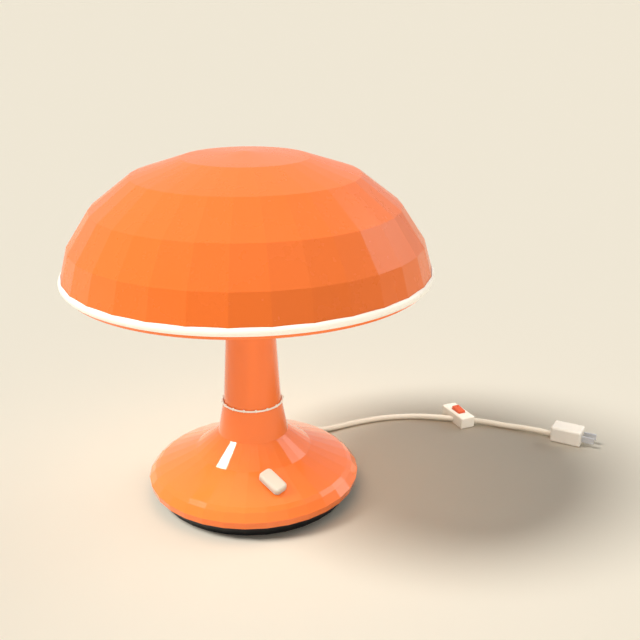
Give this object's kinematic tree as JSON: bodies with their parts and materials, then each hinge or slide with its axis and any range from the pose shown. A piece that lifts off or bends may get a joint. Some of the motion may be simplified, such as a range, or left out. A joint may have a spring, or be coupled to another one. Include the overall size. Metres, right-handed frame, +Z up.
{
  "type": "table lamp",
  "caption": "Mushroom table lamp: flat-sided dome shade with rim trim, tapered stem with beaded ring, flat-sided base with rotary dimmer, cord with rocker switch and flat-blade plug.",
  "frame": {"origin": "centre of the round pad under the base, on the surface the lamp stands on", "axes": "+Z up along the stem, -Y the front, +Y the side where the cord leaves the base"},
  "size_m": [0.51, 0.484, 0.378],
  "materials": {
    "orange_metal": "gloss",
    "orange_acrylic": "gloss",
    "cream_acrylic": "satin",
    "cream_enamel": "satin",
    "cream_plastic": "gloss",
    "orange_plastic": "gloss",
    "black_rubber": "matt",
    "steel": "satin",
    "iron": "matt",
    "brass": "satin",
    "ceramic": "gloss",
    "white_plastic": "satin",
    "opal_glass": "opal",
    "copper_wire": "satin"
  },
  "bodies": {
    "lamp": {"shade_shell": "orange_acrylic", "shade_liner": "cream_acrylic", "shade_trim": "cream_acrylic", "shade_carrier": "orange_metal", "shade_screws": "steel", "stem": "orange_metal", "stem_cap": "orange_metal", "stem_ring": "cream_enamel", "base_body": "orange_metal", "base_pad": "black_rubber", "base_plate": "steel", "base_screws": "steel", "base_weight": "iron", "weight_screws": "steel", "threaded_tube": "steel", "tube_washers": "steel", "tube_nuts": "brass", "holder_cap": "white_plastic", "holder_insert": "ceramic", "holder_skirt": "white_plastic", "screw_shell": "brass", "centre_contact": "brass", "bulb_cap": "brass", "bulb_glass": "opal_glass", "dimmer_case": "white_plastic", "dimmer_nut": "steel", "cord_relief": "orange_plastic", "inner_cord": "cream_plastic", "cord_clamp": "white_plastic", "clamp_screws": "steel", "terminal_block": "white_plastic", "inner_wires": "copper_wire", "switch_lower": "cream_plastic", "switch_upper": "cream_plastic", "switch_contacts": "brass", "switch_screws": "steel", "plug_body": "cream_plastic", "plug_blades": "steel", "cord_lead": "cream_plastic", "cord_tail": "cream_plastic"},
    "knob": {"dimmer_knob": "cream_plastic", "dimmer_shaft": "steel"},
    "rocker": {"switch_rocker": "orange_plastic"}
  },
  "joints": [
    {"name": "knob_turn", "type": "hinge", "parent": "lamp", "child": "knob", "pos_m": [0.05841, -0.05445, 0.04439], "axis": [0.2854, -0.2854, 0.9149], "range_deg": [-164.3, 105.7]},
    {"name": "rocker_tilt", "type": "hinge", "parent": "lamp", "child": "rocker", "pos_m": [0.14405, 0.2663, 0.0125], "axis": [-0.6, -0.8, 0], "range_deg": [0, 12]}
  ]
}
